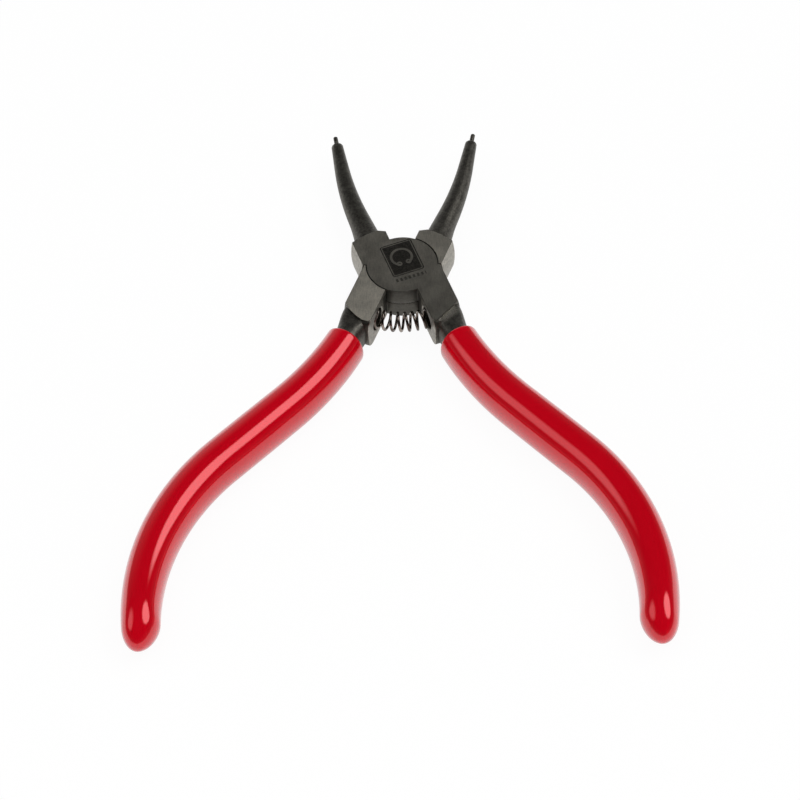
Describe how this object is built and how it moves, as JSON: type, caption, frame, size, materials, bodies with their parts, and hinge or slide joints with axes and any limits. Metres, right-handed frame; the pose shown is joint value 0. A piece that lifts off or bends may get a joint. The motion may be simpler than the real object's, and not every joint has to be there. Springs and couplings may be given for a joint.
{
  "type": "circlip pliers",
  "caption": "Hand pliers for internal retaining rings: crossed dark steel levers, straight round jaws with pin tips, a coil return spring and red dipped grips.",
  "frame": {"origin": "middle of the joint's back face, on the pivot axis", "axes": "+Z along the pivot towards the front face, +Y towards the tips, X across the handles"},
  "size_m": [0.1024, 0.1246, 0.0097],
  "materials": {
    "forged_steel": "blackened forging, ground flats on the joint",
    "ground_steel": "ground and blackened",
    "spring_wire": "bright drawn wire",
    "red_vinyl": "glossy dip coat"
  },
  "bodies": {
    "lower_half": {"lower_lever": "forged_steel", "pivot_rivet": "ground_steel", "return_spring": "spring_wire", "left_grip": "red_vinyl", "right_tip_pin": "ground_steel"},
    "upper_half": {"upper_lever": "forged_steel", "right_grip": "red_vinyl", "left_tip_pin": "ground_steel"}
  },
  "joints": [
    {"name": "pivot", "type": "hinge", "parent": "lower_half", "child": "upper_half", "pos_m": [0, 0, 0.00375], "axis": [0, 0, -1], "range_deg": [0, 39], "stiffness_Nm_per_rad": 0.33, "springref_deg": -8.02, "deforming": ["return_spring"]}
  ]
}
